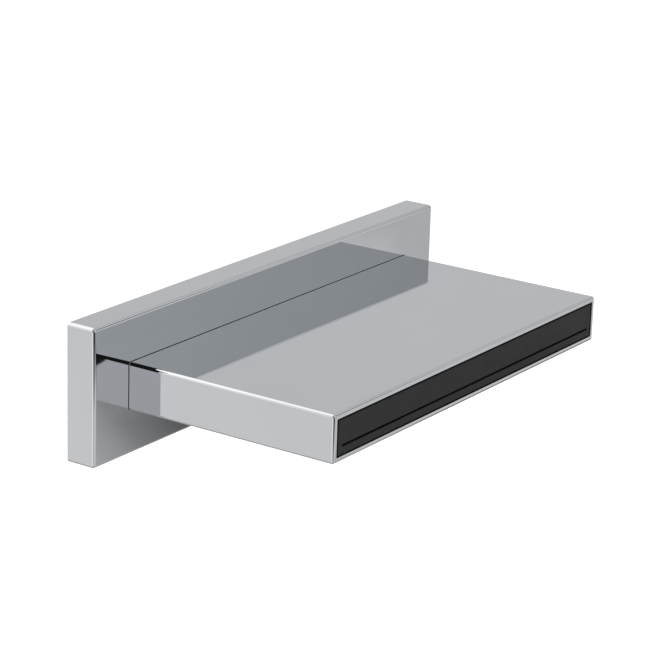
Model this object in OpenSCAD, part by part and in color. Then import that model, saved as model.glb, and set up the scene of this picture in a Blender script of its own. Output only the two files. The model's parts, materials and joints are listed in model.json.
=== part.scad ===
// Wall-mounted waterfall tub filler
// Millimetres. The wall's surface is the plane Y = 0, and the spout stands out of it along -Y.
// +X is to the right as seen from the front, +Z is up, and the origin is the middle of the plate's back.

/* [Wall plate] */
// How far the wall plate reaches past the spout at each side
plate_margin = 24; // [18:1:40]
// Height of the wall plate
plate_h = 64; // [54:1:90]
// Depth of the wall plate, from the wall to its front face
plate_d = 15; // [13.5:0.5:24]
// Thickness of the plate's four sides
plate_wall = 2.6; // [1.5:0.1:3]
// Thickness of the plate's front
plate_face = 2.6; // [1.5:0.1:3]
// Radius of the plate's outside edges
plate_edge_r = 1.2; // [0.4:0.1:1.4]

/* [Spout] */
// Width of the spout
spout_w = 220; // [190:1:236]
// Height of the spout
spout_h = 22; // [20.5:0.5:28]
// Reach of the spout, from the plate's front face to the mouth
spout_reach = 109; // [90:1:160]
// Thickness of the spout's walls
spout_wall = 2.4; // [1.6:0.1:2.6]
// Radius of the spout's outside edges
spout_edge_r = 1; // [0.4:0.1:1.4]
// Gap between the spout and the edge of the plate's aperture
seam_gap = 0.35; // [0.3:0.05:1.2]

/* [Outlet insert] */
// Gap all round the insert's face in the mouth
insert_gap = 0.8; // [0.4:0.1:0.9]
// How far the insert's face stands back from the mouth
insert_recess = 0.1; // [0:0.1:1.5]
// Length of the insert along the flow
insert_len = 22; // [20:0.5:28]
// Radius of the edges of the insert's face
insert_edge_r = 0.8; // [0.3:0.1:1]
// Height of the slit
slit_h = 1.1; // [0.6:0.1:1.6]
// Distance from the middle of the spout down to the middle of the slit
slit_drop = 4; // [2:0.1:4.2]
// Distance from the end of the slit to the edge of the insert's face
slit_margin = 3.2; // [3:0.1:8]
// Number of cored pockets over the throat
pocket_count = 12; // [4:1:16]

/* [Flow parts] */
// Length of the flow straightener along the flow
straightener_len = 12; // [8:0.5:16]
// Width of one straightener cell and its vane
cell_pitch = 7.4; // [6:0.1:12]
// Thickness of the straightener's vanes
vane_t = 0.9; // [0.6:0.1:1.2]
// Distance from the plate's front face to the front of the diffuser
diffuser_out = 20; // [12:1:30]
// Thickness of the diffuser sheet
diffuser_t = 1; // [0.6:0.1:1.5]
// Radius of the diffuser's holes
diffuser_hole_r = 1.75; // [1:0.05:2]
// Distance between the diffuser's holes
diffuser_pitch = 7.5; // [6:0.1:12]

/* [Flange and inlet] */
// Thickness of the mounting flange
flange_t = 8; // [7:0.5:9]
// How far the flange reaches past the spout at each side
flange_margin = 6; // [4:0.5:8]
// Gap above and below the flange, to the gasket in the plate
flange_gap = 0.65; // [0.4:0.05:7]
// Thickness of the gasket between the flange and the wall
gasket_t = 1.5; // [1:0.1:2]
// Radius of the tail's outside thread, G 1/2
thread_r = 10.478; // [10.3:0.001:10.6]
// Radius of the tail's plain shank
shank_r = 10; // [9.6:0.1:10.1]
// Radius of the tail's water way
tail_bore_r = 7.5; // [6:0.1:7.6]
// Reach of the tail behind the wall's surface
tail_out = 42; // [40:1:90]
// Length of the tail's outside thread
thread_len = 18; // [12:1:19]

/* [Fixings] */
// Thickness of the wall panel that the studs clamp
panel_t = 18; // [8:1:19]
// Distance between the two studs
stud_spacing = 160; // [90:1:170]
// Radius of the studs, M8
stud_r = 4; // [3:0.5:5]
// Length of the stud's free end behind the nut
stud_spare = 4; // [2:0.5:10]
// Thickness of the rubber pad behind the panel
pad_t = 2; // [1:0.5:3]
// Thickness of the backing bar
bar_t = 3; // [2:0.5:4]
// Height of the backing bar
bar_h = 34; // [30:1:50]
// Distance from the flange's end to the plate's grub screw
plate_screw_inset = 16; // [8:1:60]
// Radius of the plate's grub screws, M4
plate_screw_r = 2; // [1.5:0.25:2]

/* [Hidden] */

// Facets of a full circle, and steps in a quarter of a rounded outline
$fn = 48;
corner_steps = 5;
// How far a cut runs past the face that it opens
overrun = 1;
// Clearance of a piece that is fitted by hand, and of a brazed or screwed joint
fit_gap = 0.15;
joint_gap = 0.05;

// Plate: its width, the pocket behind its front, and the aperture round the spout
plate_w = spout_w + 2 * plate_margin;
pocket_w = plate_w - 2 * plate_wall;
pocket_h = plate_h - 2 * plate_wall;
pocket_d = plate_d - plate_face;
pocket_r = 2;
aperture_w = spout_w + 2 * seam_gap;
aperture_h = spout_h + 2 * seam_gap;
aperture_r = spout_edge_r + seam_gap;
// Ribs at the top of the pocket that sit on the flange
locating_rib_w = 12;
locating_rib_clear = 0.2;

// Gaskets and seals of the plate
foam_w = 3.6;
foam_t = 2.4;
seal_foot = 3;
seal_rim_wall = 1.4;
seal_recess = 0.5;

// Flange: its front face, the socket that takes the end of the sleeve, and the port
flange_front = gasket_t + flange_t;
flange_w = spout_w + 2 * flange_margin;
flange_h = pocket_h - 2 * (fit_gap + foam_w + flange_gap);
flange_r = 6;
socket_d = 3;
socket_web = 1.3;
port_r = 7;
gasket_inset = 1;
stud_hole_margin = 1.6;
stud_floor = 2;

// Spout: the inside of the sleeve, and where it begins and ends
inner_w = spout_w - 2 * spout_wall;
inner_h = spout_h - 2 * spout_wall;
inner_r = 0.5;
sleeve_back = flange_front - socket_d;
mouth = plate_d + spout_reach;
stop_h = 1.4;
stop_len = 3;
stop_clear = 0.2;

// Tail: how far it enters the flange, the O-ring in its end face, and the seat of the strainer
tail_depth = flange_t - socket_d - socket_web;
tail_front = gasket_t + tail_depth;
ring_section_r = 0.5;
ring_land = 0.7;
ring_r = tail_bore_r + ring_land + ring_section_r;
thread_start = tail_out - thread_len;
thread_chamfer = 1.2;
strainer_ledge = 1.1;
strainer_seat_r = tail_bore_r + strainer_ledge;
strainer_seat_d = 3.6;
strainer_ring_t = 2.6;
strainer_ring_w = 1.9;
mesh_t = 0.6;
mesh_from = strainer_seat_d - mesh_t - tail_out;
mesh_hole_r = 0.7;
mesh_pitch = 1.9;
mesh_rings = 3;

// Fixings behind the panel
stud_thread_share = 0.9;
stud_thread_r = stud_r * stud_thread_share;
stud_depth = flange_t - stud_floor;
bolt_clear = 0.2;
bar_overhang = 20;
bar_r = 6;
pad_proud = 1;
bar_back = panel_t + pad_t + bar_t;
washer_r = 2 * stud_r;
washer_t = 1.6;
nut_af = 13;
nut_t = 6.5;
stud_end = bar_back + washer_t + nut_t + stud_spare;
plate_screw_len = 5.8;
plate_screw_key_share = 0.55;
plate_screw_key_d = 2;
boss_wall = 1;
boss_r = plate_screw_r + boss_wall;
boss_clear = 1.4;
boss_top = flange_h / 2 + boss_clear;
plate_screw_y = foam_t + fit_gap + boss_r;
plate_screw_x = flange_w / 2 - plate_screw_inset;

// Insert: its face, its narrower body, the groove of its seal and its throat
face_w = inner_w - 2 * insert_gap;
face_h = inner_h - 2 * insert_gap;
face_t = 2.5;
body_gap = 1.1;
body_w = inner_w - 2 * body_gap;
body_h = inner_h - 2 * body_gap;
insert_r = 0.6;
guide_gap = 0.35;
guide_len = 2;
groove_from = 3.6;
groove_len = 2.6;
groove_depth = 1.2;
groove_land = 1.2;
seal_clear = 0.3;
insert_front = mouth - insert_recess;
insert_back = insert_front - insert_len;
slit_w = face_w - 2 * slit_margin;
slit_land = 1.6;
throat_rear_h = 11.2;
throat_steps = 9;
throat_wall = 1.6;
pocket_rib = 1.4;
pocket_from = groove_from + groove_len + groove_land;
pocket_end_wall = 3;
pocket_to = insert_len - guide_len - pocket_end_wall;

// Straightener: a rim at its back, a grid of two rows of cells, and a spigot that enters the throat
rim_gap = 0.5;
rim_w = inner_w - 2 * rim_gap;
rim_h = inner_h - 2 * rim_gap;
rim_t = 2.5;
spigot_gap = 0.3;
spigot_h = throat_rear_h - 2 * spigot_gap;
spigot_len = 1.2;
grid_wall = 1.2;
grid_h = spigot_h + 2 * grid_wall;
cell_count = floor((slit_w - vane_t) / cell_pitch);
cell_w = cell_pitch - vane_t;
cell_h = (spigot_h - 3 * vane_t) / 2;
straightener_back = insert_back - straightener_len;

// Screws that hold the straightener on the insert's cheeks
screw_r = 0.8;
screw_hole_r = screw_r + joint_gap;
screw_head_r = 1.4;
screw_head_t = 1;
screw_sink = 6;
screw_bite = 5;
screw_x = (slit_w + body_w) / 4;

// Diffuser: a tray of thin sheet whose flanges press on the sleeve
diffuser_lip = 7;
diffuser_front = plate_d + diffuser_out;
diffuser_rows = [-1, 1];
diffuser_row_z = inner_h / 4;
diffuser_count = floor((inner_w - 2 * diffuser_pitch) / diffuser_pitch) + 1;

// Quarter of a circle of radius r about a centre, from angle a0
function quarter(centre, r, a0) =
    [for (i = [0:corner_steps]) let (a = a0 + 90 * i / corner_steps) centre + r * [cos(a), sin(a)]];

// Rectangle w by h, centred, with its corners rounded to radius r
function rounded(w, h, r) = concat(
    quarter([w / 2 - r, h / 2 - r], r, 0),
    quarter([r - w / 2, h / 2 - r], r, 90),
    quarter([r - w / 2, r - h / 2], r, 180),
    quarter([w / 2 - r, r - h / 2], r, 270)
);

// Side outline of a block that ends at y = -front, with its two front corners rounded to radius r
function nose(span, back, front, r) = concat(
    [[-back, -span / 2], [-back, span / 2]],
    quarter([r - front, span / 2 - r], r, 90),
    quarter([r - front, r - span / 2], r, 180)
);

// Value a share of the way from a to b
function blend(share, a, b) = a + share * (b - a);

// An outline in X and Z, drawn out from a distance from the wall over a length
module outward(from, len) {
    translate([0, -from, 0])
        rotate([90, 0, 0])
            linear_extrude(len)
                children();
}

// An outline in Y and Z, drawn across X
module across(w) {
    rotate([90, 0, 90])
        linear_extrude(w, center = true)
            children();
}

// A cylinder along Y, drawn outwards from a distance that is negative behind the wall's surface
module rod(r, from, len, x = 0, z = 0) {
    translate([x, -from, z])
        rotate([90, 0, 0])
            cylinder(h = len, r = r);
}

// A block from back to front whose long edges and front edges are all rounded
module soft_block(w, h, back, front, r) {
    intersection() {
        outward(back, front - back + overrun)
            polygon(rounded(w, h, r));
        across(w + 2 * overrun)
            polygon(nose(h, back - overrun, front, r));
        linear_extrude(h + 2 * overrun, center = true)
            polygon([for (p = nose(w, back - overrun, front, r)) [p[1], p[0]]]);
    }
}

// A frame between two rounded rectangles, drawn outwards
module loop(w, h, r, wall, from, len) {
    outward(from, len)
        difference() {
            polygon(rounded(w, h, r));
            polygon(rounded(w - 2 * wall, h - 2 * wall, max(r - wall, inner_r)));
        }
}

module at_studs() {
    for (side = [-1, 1])
        translate([side * stud_spacing / 2, 0, 0])
            children();
}

module wall_plate() {
    color("gainsboro")
        difference() {
            union() {
                difference() {
                    soft_block(plate_w, plate_h, 0, plate_d, plate_edge_r);
                    outward(-overrun, pocket_d + overrun)
                        polygon(rounded(pocket_w, pocket_h, pocket_r));
                }
                plate_seal_rim();
                plate_locating_ribs();
                plate_bosses();
            }
            outward(0, plate_d + overrun)
                polygon(rounded(aperture_w, aperture_h, aperture_r));
            for (x = [-plate_screw_x, plate_screw_x])
                translate([x, -plate_screw_y, -plate_h / 2 - overrun])
                    cylinder(h = plate_h / 2 - flange_h / 2 + overrun, r = plate_screw_r + joint_gap);
        }
}

// Rim behind the plate's front that holds the collar seal
module plate_seal_rim() {
    spread = 2 * (seal_foot + fit_gap + seal_rim_wall);
    loop(aperture_w + spread, aperture_h + spread, aperture_r + spread / 2, seal_rim_wall,
        flange_front + fit_gap, pocket_d - flange_front + plate_face / 2);
}

module plate_locating_ribs() {
    rib_low = flange_h / 2 + locating_rib_clear;
    rib_high = (pocket_h + plate_wall) / 2;
    rib_front = pocket_d + plate_face / 2;
    for (x = [-plate_screw_x, plate_screw_x])
        translate([x - locating_rib_w / 2, -rib_front, rib_low])
            cube([locating_rib_w, rib_front - foam_t - fit_gap, rib_high - rib_low]);
}

// Bosses that the grub screws run in
module plate_bosses() {
    for (x = [-plate_screw_x, plate_screw_x])
        translate([x, -plate_screw_y, -(pocket_h + plate_wall) / 2])
            cylinder(h = (pocket_h + plate_wall) / 2 - boss_top, r = boss_r);
}

module wall_gasket() {
    color("dimgray")
        loop(pocket_w - 2 * fit_gap, pocket_h - 2 * fit_gap, pocket_r, foam_w, 0, foam_t);
}

// L-shaped ring: a lip in the gap round the spout, and a foot behind the plate's front
module collar_seal() {
    inside_w = spout_w + 2 * joint_gap;
    inside_h = spout_h + 2 * joint_gap;
    lip_w = aperture_w - 2 * joint_gap;
    lip_h = aperture_h - 2 * joint_gap;
    foot_w = aperture_w + 2 * seal_foot;
    foot_h = aperture_h + 2 * seal_foot;
    color("black")
        difference() {
            union() {
                outward(flange_front + fit_gap, pocket_d - flange_front - fit_gap)
                    polygon(rounded(foot_w, foot_h, aperture_r + seal_foot));
                outward(flange_front + fit_gap, plate_d - seal_recess - flange_front - fit_gap)
                    polygon(rounded(lip_w, lip_h, aperture_r - joint_gap));
            }
            outward(flange_front - overrun, plate_d - flange_front + 2 * overrun)
                polygon(rounded(inside_w, inside_h, spout_edge_r + joint_gap));
        }
}

module spout_body() {
    color("silver")
        difference() {
            soft_block(spout_w, spout_h, sleeve_back, mouth, spout_edge_r);
            difference() {
                outward(sleeve_back - overrun, mouth - sleeve_back + 2 * overrun)
                    polygon(rounded(inner_w, inner_h, inner_r));
                sleeve_stops();
            }
        }
}

// Ledges across the sleeve's floor and ceiling that the straightener comes to rest against
module sleeve_stops() {
    for (side = [-1, 1])
        translate([-inner_w / 2 - overrun, -straightener_back + stop_clear, side * (inner_h - stop_h) / 2])
            translate([0, 0, -stop_h / 2])
                cube([inner_w + 2 * overrun, stop_len, stop_h]);
}

module mount_flange() {
    color("darkgoldenrod")
        difference() {
            outward(gasket_t, flange_t)
                polygon(rounded(flange_w, flange_h, flange_r));
            loop(spout_w + 2 * joint_gap, spout_h + 2 * joint_gap, spout_edge_r + joint_gap,
                spout_wall + 2 * joint_gap, sleeve_back - joint_gap, socket_d + joint_gap + overrun);
            rod(port_r, gasket_t, flange_t + overrun);
            rod(shank_r + joint_gap, gasket_t - overrun, tail_depth + joint_gap + overrun);
            at_studs()
                rod(stud_thread_r + joint_gap, gasket_t - overrun, stud_depth + overrun);
        }
}

module flange_gasket() {
    gasket_w = flange_w - 2 * gasket_inset;
    gasket_h = flange_h - 2 * gasket_inset;
    color("dimgray")
        difference() {
            outward(0, gasket_t)
                polygon(rounded(gasket_w, gasket_h, flange_r - gasket_inset));
            rod(shank_r + fit_gap, -overrun, gasket_t + 2 * overrun);
            at_studs()
                rod(stud_r + stud_hole_margin, -overrun, gasket_t + 2 * overrun);
        }
}

module inlet_tail() {
    groove = 2 * (ring_section_r + joint_gap);
    color("goldenrod")
        difference() {
            union() {
                rod(shank_r, -thread_start, thread_start + tail_front);
                rod(thread_r, thread_chamfer - tail_out, thread_len - thread_chamfer);
                translate([0, tail_out - thread_chamfer, 0])
                    rotate([-90, 0, 0])
                        cylinder(h = thread_chamfer, r1 = thread_r, r2 = thread_r - thread_chamfer / 2);
            }
            rod(tail_bore_r, strainer_seat_d - tail_out, tail_out - strainer_seat_d + tail_front + overrun);
            rod(strainer_seat_r, -tail_out - overrun, strainer_seat_d + overrun);
            difference() {
                rod(ring_r + groove / 2, tail_front - groove, groove + overrun);
                rod(ring_r - groove / 2, tail_front - 2 * groove, 3 * groove + overrun);
            }
        }
}

// O-ring in the groove of the tail's end face
module tail_seal() {
    color("black")
        translate([0, ring_section_r + joint_gap - tail_front, 0])
            rotate([90, 0, 0])
                rotate_extrude()
                    translate([ring_r, 0])
                        circle(r = ring_section_r, $fn = 16);
}

module strainer_ring() {
    color("black")
        difference() {
            rod(strainer_seat_r - fit_gap, mesh_from - strainer_ring_t, strainer_ring_t);
            rod(strainer_seat_r - strainer_ring_w, -tail_out - overrun, strainer_seat_d + 2 * overrun);
        }
}

// Perforated disc under the ring, with its holes in rings of six, twelve and so on
module strainer_mesh() {
    color("lightgray")
        difference() {
            rod(strainer_seat_r - fit_gap, mesh_from, mesh_t);
            for (ring = [0:mesh_rings], i = [0:max(6 * ring, 1) - 1])
                let (a = 360 * i / max(6 * ring, 1))
                    rod(mesh_hole_r, mesh_from - overrun, mesh_t + 2 * overrun,
                        mesh_pitch * ring * cos(a), mesh_pitch * ring * sin(a));
        }
}

module fixing_studs() {
    color("silver")
        at_studs() {
            rod(stud_thread_r, gasket_t, stud_depth - joint_gap);
            rod(stud_r, -panel_t, panel_t + gasket_t);
            rod(stud_thread_r, -stud_end, stud_end - panel_t);
        }
}

// Outline shared by the pad and the bar behind the panel
module backing_outline(margin) {
    polygon(rounded(stud_spacing + 2 * (bar_overhang + margin), bar_h + 2 * margin, bar_r + margin));
}

module backing_holes(from, len) {
    rod(thread_r + bolt_clear, from, len);
    at_studs()
        rod(stud_r + bolt_clear, from, len);
}

module backing_pad() {
    color("dimgray")
        difference() {
            outward(-panel_t - pad_t, pad_t)
                backing_outline(pad_proud);
            backing_holes(-bar_back, bar_back);
        }
}

module backing_bar() {
    color("lightsteelblue")
        difference() {
            outward(-bar_back, bar_t)
                backing_outline(0);
            backing_holes(-bar_back - overrun, bar_back);
        }
}

module stud_washers() {
    color("silver")
        at_studs()
            difference() {
                rod(washer_r, -bar_back - washer_t, washer_t);
                rod(stud_r + bolt_clear, -bar_back - washer_t - overrun, washer_t + 2 * overrun);
            }
}

module stud_nuts() {
    seat = bar_back + washer_t;
    color("gold")
        at_studs()
            difference() {
                translate([0, seat + nut_t, 0])
                    rotate([90, 0, 0])
                        cylinder(h = nut_t, r = nut_af / 2 / cos(30), $fn = 6);
                rod(stud_thread_r + joint_gap, -seat - nut_t - overrun, nut_t + 2 * overrun);
            }
}

// Grub screws with a hexagon socket, whose tips press on the flange's lower edge
module plate_screws() {
    tip = flange_h / 2 + joint_gap;
    key_r = plate_screw_r * plate_screw_key_share;
    color("dimgray")
        for (x = [-plate_screw_x, plate_screw_x])
            translate([x, -plate_screw_y, -tip - plate_screw_len])
                difference() {
                    cylinder(h = plate_screw_len, r = plate_screw_r);
                    translate([0, 0, -overrun])
                        cylinder(h = plate_screw_key_d + overrun, r = key_r, $fn = 6);
                }
}

// Perforated tray across the sleeve, with its flanges turned back along the floor and the ceiling
module diffuser_plate() {
    sheet_w = inner_w - 2 * fit_gap;
    sheet_h = inner_h - 2 * fit_gap;
    first_x = -(diffuser_count - 1) * diffuser_pitch / 2;
    color("lightgray")
        difference() {
            outward(diffuser_front - diffuser_lip, diffuser_lip)
                polygon(rounded(sheet_w, sheet_h, inner_r));
            translate([-inner_w / 2, -diffuser_front + diffuser_t, diffuser_t - sheet_h / 2])
                cube([inner_w, diffuser_lip, sheet_h - 2 * diffuser_t]);
            for (row = diffuser_rows, i = [0:diffuser_count - 1])
                rod(diffuser_hole_r, diffuser_front - diffuser_t - overrun, diffuser_t + 2 * overrun,
                    first_x + i * diffuser_pitch, row * diffuser_row_z);
        }
}

// How far the throat has opened at a distance s behind the face: not yet in the slit, fully at the rear
function throat_share(s) =
    s <= slit_land ? 0 : (1 - cos(180 * (s - slit_land) / (insert_len - slit_land))) / 2;

// Heights of the throat's ceiling and floor at a distance s behind the face
function throat_top(s) = blend(throat_share(s), slit_h / 2 - slit_drop, throat_rear_h / 2);
function throat_floor(s) = blend(throat_share(s), -slit_h / 2 - slit_drop, -throat_rear_h / 2);
function throat_at(i) = slit_land + (insert_len - slit_land) * i / throat_steps;

// Side view of the water way through the insert, which narrows from the straightener to the slit
module throat_outline() {
    polygon(concat(
        [[-insert_front - overrun, throat_top(0)]],
        [for (i = [0:throat_steps]) [throat_at(i) - insert_front, throat_top(throat_at(i))]],
        [[overrun - insert_back, throat_rear_h / 2], [overrun - insert_back, -throat_rear_h / 2]],
        [for (i = [throat_steps:-1:0]) [throat_at(i) - insert_front, throat_floor(throat_at(i))]],
        [[-insert_front - overrun, throat_floor(0)]]
    ));
}

// Side view of a cored pocket, whose floor follows the throat's ceiling
module pocket_outline() {
    steps = [for (i = [0:throat_steps]) pocket_from + (pocket_to - pocket_from) * i / throat_steps];
    polygon(concat(
        [for (s = steps) [s - insert_front, throat_top(s) + throat_wall]],
        [[pocket_to - insert_front, inner_h / 2], [pocket_from - insert_front, inner_h / 2]]
    ));
}

module outlet_insert() {
    pitch = (slit_w + pocket_rib) / pocket_count;
    color("darkslategray")
        difference() {
            union() {
                soft_block(face_w, face_h, insert_front - face_t, insert_front, insert_edge_r);
                outward(insert_back, insert_len - face_t / 2)
                    polygon(rounded(body_w, body_h, insert_r));
                outward(insert_back, guide_len)
                    polygon(rounded(inner_w - 2 * guide_gap, inner_h - 2 * guide_gap, insert_r));
            }
            for (x = [-screw_x, screw_x])
                rod(screw_hole_r, insert_back - overrun, screw_bite + joint_gap + overrun, x);
            loop(inner_w, inner_h, insert_r, body_gap + groove_depth,
                insert_front - groove_from - groove_len, groove_len);
            across(slit_w)
                throat_outline();
            for (i = [0:pocket_count - 1])
                translate([(i - (pocket_count - 1) / 2) * pitch, 0, 0])
                    across(pitch - pocket_rib)
                        pocket_outline();
        }
}

// Rubber ring in the insert's groove, just clear of the sleeve
module insert_seal() {
    wall = body_gap + groove_depth - seal_clear - joint_gap;
    color("black")
        loop(inner_w - 2 * seal_clear, inner_h - 2 * seal_clear, insert_r, wall,
            insert_front - groove_from - groove_len + fit_gap, groove_len - 2 * fit_gap);
}

// Grid of cells behind the insert, with a spigot that enters the back of the throat
module flow_straightener() {
    first_x = -(cell_count - 1) * cell_pitch / 2;
    color("whitesmoke")
        difference() {
            union() {
                outward(straightener_back, rim_t)
                    polygon(rounded(rim_w, rim_h, insert_r));
                outward(straightener_back, straightener_len)
                    polygon(rounded(rim_w, grid_h, insert_r));
                outward(straightener_back, straightener_len + spigot_len)
                    square([slit_w - 2 * fit_gap, spigot_h], center = true);
            }
            for (i = [0:cell_count - 1], row = [-1, 1])
                outward(straightener_back - overrun, straightener_len + spigot_len + 2 * overrun)
                    translate([first_x + i * cell_pitch, row * (cell_h + vane_t) / 2])
                        square([cell_w, cell_h], center = true);
            for (x = [-screw_x, screw_x]) {
                rod(screw_head_r + fit_gap, straightener_back - overrun, screw_sink + overrun, x);
                rod(screw_hole_r, straightener_back, straightener_len + overrun, x);
            }
        }
}

module cartridge_screws() {
    seat = straightener_back + screw_sink;
    color("silver")
        for (x = [-screw_x, screw_x]) {
            rod(screw_head_r, seat - screw_head_t, screw_head_t, x);
            rod(screw_r, seat, insert_back + screw_bite - seat, x);
        }
}

wall_plate();
wall_gasket();
collar_seal();
spout_body();
mount_flange();
flange_gasket();
inlet_tail();
tail_seal();
strainer_ring();
strainer_mesh();
fixing_studs();
backing_pad();
backing_bar();
stud_washers();
stud_nuts();
plate_screws();
diffuser_plate();
outlet_insert();
insert_seal();
flow_straightener();
cartridge_screws();
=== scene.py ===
import json
import math

import bmesh
import bpy
from mathutils import Matrix, Vector


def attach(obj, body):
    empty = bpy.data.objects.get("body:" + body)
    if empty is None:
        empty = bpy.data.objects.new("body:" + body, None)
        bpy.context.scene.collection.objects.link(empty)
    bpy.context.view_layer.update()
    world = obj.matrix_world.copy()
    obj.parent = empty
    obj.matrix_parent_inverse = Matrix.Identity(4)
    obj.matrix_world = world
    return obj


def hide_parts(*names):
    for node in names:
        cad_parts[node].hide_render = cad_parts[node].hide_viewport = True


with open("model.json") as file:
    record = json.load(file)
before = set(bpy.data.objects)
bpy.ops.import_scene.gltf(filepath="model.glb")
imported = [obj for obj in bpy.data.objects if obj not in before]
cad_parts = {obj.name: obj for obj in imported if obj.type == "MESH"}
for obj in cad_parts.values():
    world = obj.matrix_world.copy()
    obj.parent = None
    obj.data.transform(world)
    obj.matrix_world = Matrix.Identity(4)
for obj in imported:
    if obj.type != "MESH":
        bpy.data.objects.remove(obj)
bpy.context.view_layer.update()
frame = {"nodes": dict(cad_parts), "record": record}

MM = 0.001
NODES = frame["nodes"]

# The camera, fitted to the photograph: directions in degrees, places in millimetres
CAMERA_AZIMUTH = -55.892
CAMERA_ELEVATION = 17.866
CAMERA_ROLL = 1.775
CAMERA_ACROSS = 38.879
CAMERA_UP = -5.447
CAMERA_DISTANCE = 1265.464
LENS = 144.875
SENSOR = 36.0
CLIP_FROM = 50.0
CLIP_TO = 50000.0

# The part in millimetres. Places called "out" are distances from the wall's surface towards -Y.
# PLATE is a width, height and depth, and SPOUT a width and height. The sizes are those of the
# source, but for softer polished edges, a finer gap above and below the spout with a thinner lip
# in it, and the lower edge of the insert's face.
PLATE = (268.0, 64.0, 15.0)
PLATE_EDGE_R = 1.6
PLATE_WALL = 2.6
PLATE_FACE = 2.6
PLATE_BREAK = 0.15
POCKET_R = 2.0
SEAM_GAP = 0.35
SEAM_TOP_GAP = 0.22
SPOUT = (220.0, 22.0)
SPOUT_EDGE_R = 1.35
SPOUT_WALL = 2.4
SPOUT_INNER_R = 0.5
SPOUT_BACK = 6.5
MOUTH = 124.0
MOUTH_BREAK = 0.25
FLANGE_FRONT = 9.5

# How far a tool of a boolean step reaches past what it cuts or joins
OVERLAP = 1.0

# Rim round the collar seal: how much wider than the hole it is inside and outside, and its gap
# to the flange
RIM_SPREADS = (6.3, 9.1)
RIM_CLEAR = 0.15

# Ribs that sit on the flange, and bosses with the holes of the grub screws
RIB_X = 100.0
RIB_HALF_W = 6.0
RIB_LOW = 25.2
RIB_BACK = 2.55
BOSS_OUT = 5.55
BOSS_R = 3.0
BOSS_TOP = -26.4
SCREW_HOLE_R = 2.05
SCREW_HOLE_TOP = -25.0

# Ledges inside the spout: from and to, and their height
LEDGE = (86.7, 89.7, 1.4)

# Lip of the collar seal: where it starts, the heights between which it is thinned, and the share
# of its thickness that is kept
LIP_OUT = 12.39
LIP_RANGE = (11.05, 11.31)
LIP_SHARE = 0.6

# Lower edge of the insert's face: points further out and lower than one of these pairs go down
# by the drop
FACE_LIMITS = ((122.0, -6.9), (121.3, -7.65))
FACE_DROP = 0.4

# Ribbed seal of the insert
SEAL_FROM = 117.85
SEAL_LEN = 2.3
SEAL_SIZE = (214.6, 16.6)
SEAL_DEPTH = 1.95
SEAL_CORNER_R = 0.6
SEAL_LIP = 0.4
SEAL_STEPS = 16

# Tail, studs and strainer in millimetres, with places along +Y, behind the wall's surface.
# Groove: radii and depth. Thread: root, crest and pitch. Relief: distances before the thread.
TAIL_FRONT = -5.2
TAIL_OUT = 42.0
TAIL_SHANK_R = 10.0
TAIL_BORE_R = 7.5
TAIL_BREAK = 0.25
TAIL_GROOVE = (8.15, 9.25, 1.1)
TAIL_THREAD_FROM = 24.0
TAIL_THREAD = (9.316, 10.478, 1.814)
TAIL_RELIEF = (2.2, 1.6, 0.4)
TAIL_TIP_R = 9.6
STUD_X = 80.0
STUD_FRONT = -7.45
STUD_CORE_R = 3.6
STUD_R = 4.0
STUD_NECK = -1.5
STUD_END = 35.1
STUD_BREAK = 0.3
STUD_THREAD = (3.35, 4.0, 1.25)
STUD_RELIEF = (0.6, 0.2)
STUD_TIP_R = 2.9
PANEL = 18.0
BAR_BACK = 23.0

# A thread's section over a turn, as middle and swing in shares of its height, and the slope of
# its chamfer
THREAD_WAVE = (0.5, 0.62)
THREAD_CHAMFER = 0.75

# Strainer: its seat's radius and depth, the ring's radii and ends, and the woven wires
STRAINER_SEAT = (8.6, 3.6)
STRAINER_RING = (6.7, 8.45, 39.0, 41.6)
STRAINER_LIP = 0.5
GAUZE_Y = 38.7
GAUZE_R = 8.35
WIRE_R = 0.13
WIRE_LIFT = 1.05
WIRE_PITCH = 1.05
WIRE_SIDES = 6
WIRE_STEPS_PER_PITCH = 4
WIRE_STEPS_LEAST = 6

# Washers: radii and thickness. Nuts: the chamfer's radius as a share of half the flats, and its
# depth and slope
WASHER = (4.2, 8.0, 1.6)
WASHER_BREAK = 0.1
WASHER_ROUND = 0.3
NUT_FLATS = 13.0
NUT_T = 6.5
NUT_BORE_R = 4.06
NUT_CHAMFER = (0.96, 0.9, 1.5)
NUT_SINK = 0.35

# Angles above which an edge is sharp and below which it is flat
STEEP = math.radians(35)
FLAT = math.radians(0.5)

# Distances below which points are one, in millimetres, and the smallest radius
WELD = 0.01
FINE_WELD = 0.002
TINY = 0.001

# Numbers of steps: in a quarter of a large round, of a small one and of the strainer's lip, on a
# softened edge, round a turned piece and a rod, in a thread's pitch and on a nut's chamfer
CORNER_STEPS = 8
SMALL_STEPS = 4
RING_STEPS = 5
SOFT_STEPS = 2
TURN_STEPS = 60
ROD_STEPS = 48
ROWS_PER_PITCH = 8
NUT_STEPS = 6


# Camera

def direction(azimuth, elevation):
    """A unit vector: azimuth 0 is towards -Y and 90 towards +X, elevation above the horizon."""
    a, e = math.radians(azimuth), math.radians(elevation)
    return Vector((math.sin(a) * math.cos(e), -math.cos(a) * math.cos(e), math.sin(e)))


def camera_axes():
    """The camera's right, up and back directions."""
    azimuth, roll = math.radians(CAMERA_AZIMUTH), math.radians(CAMERA_ROLL)
    back = direction(CAMERA_AZIMUTH, CAMERA_ELEVATION)
    level = Vector((math.cos(azimuth), math.sin(azimuth), 0))
    upright = back.cross(level)
    right = math.cos(roll) * level + math.sin(roll) * upright
    up = -math.sin(roll) * level + math.cos(roll) * upright
    return right, up, back


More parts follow.
